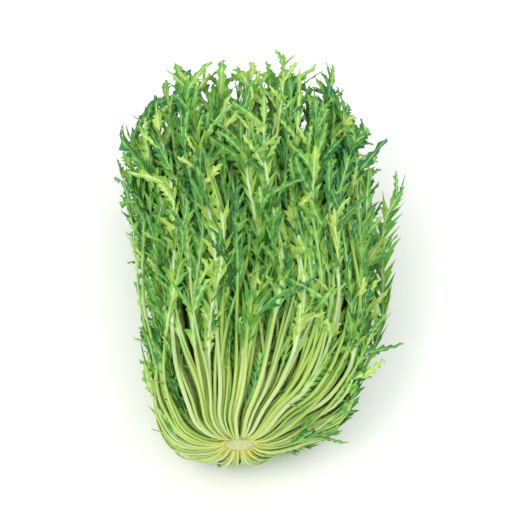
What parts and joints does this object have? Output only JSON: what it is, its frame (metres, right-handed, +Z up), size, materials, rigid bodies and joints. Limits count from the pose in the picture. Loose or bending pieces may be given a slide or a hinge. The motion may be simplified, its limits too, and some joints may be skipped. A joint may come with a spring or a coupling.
{
  "type": "mizuna head",
  "caption": "Cut head of feathery salad greens lying on its side, with pale stalks spreading in a bowl from one crown and leaves cut into pointed lobes.",
  "frame": {"origin": "middle of the head's box, on the surface it lies on", "axes": "+Y along the head from the cut crown to the leaf tips, +Z up, +X to the right seen from the crown"},
  "size_m": [0.2448, 0.357, 0.1448],
  "materials": {
    "crown_cream": "moist, slightly rough cut plant tissue, cream with a yellower rim",
    "heart_green": "young leaf, yellow-green, half matt, on a pale stalk",
    "leaf_green": "half-matt green leaf with a whitish midrib and a pale yellow-green stalk with a damp sheen"
  },
  "bodies": {
    "root": {"crown": "crown_cream", "ring1_shoot1": "heart_green", "ring2_shoot1": "heart_green", "ring3_shoot1": "heart_green", "ring4_shoot1": "leaf_green", "ring4_shoot2": "leaf_green", "ring5_shoot1": "leaf_green", "ring5_shoot2": "leaf_green", "ring5_shoot3": "leaf_green", "ring6_shoot1": "leaf_green", "ring6_shoot2": "leaf_green", "ring6_shoot3": "leaf_green", "ring6_shoot4": "leaf_green", "ring7_shoot1": "leaf_green", "ring7_shoot2": "leaf_green", "ring7_shoot3": "leaf_green", "ring7_shoot4": "leaf_green", "ring7_shoot5": "leaf_green", "ring8_shoot1": "leaf_green", "ring8_shoot2": "leaf_green", "ring8_shoot3": "leaf_green", "ring8_shoot4": "leaf_green", "ring8_shoot5": "leaf_green", "ring8_shoot6": "leaf_green", "ring9_shoot1": "leaf_green", "ring9_shoot2": "leaf_green", "ring9_shoot3": "leaf_green", "ring9_shoot4": "leaf_green", "ring9_shoot5": "leaf_green", "ring9_shoot6": "leaf_green", "ring9_shoot7": "leaf_green"}
  },
  "joints": []
}
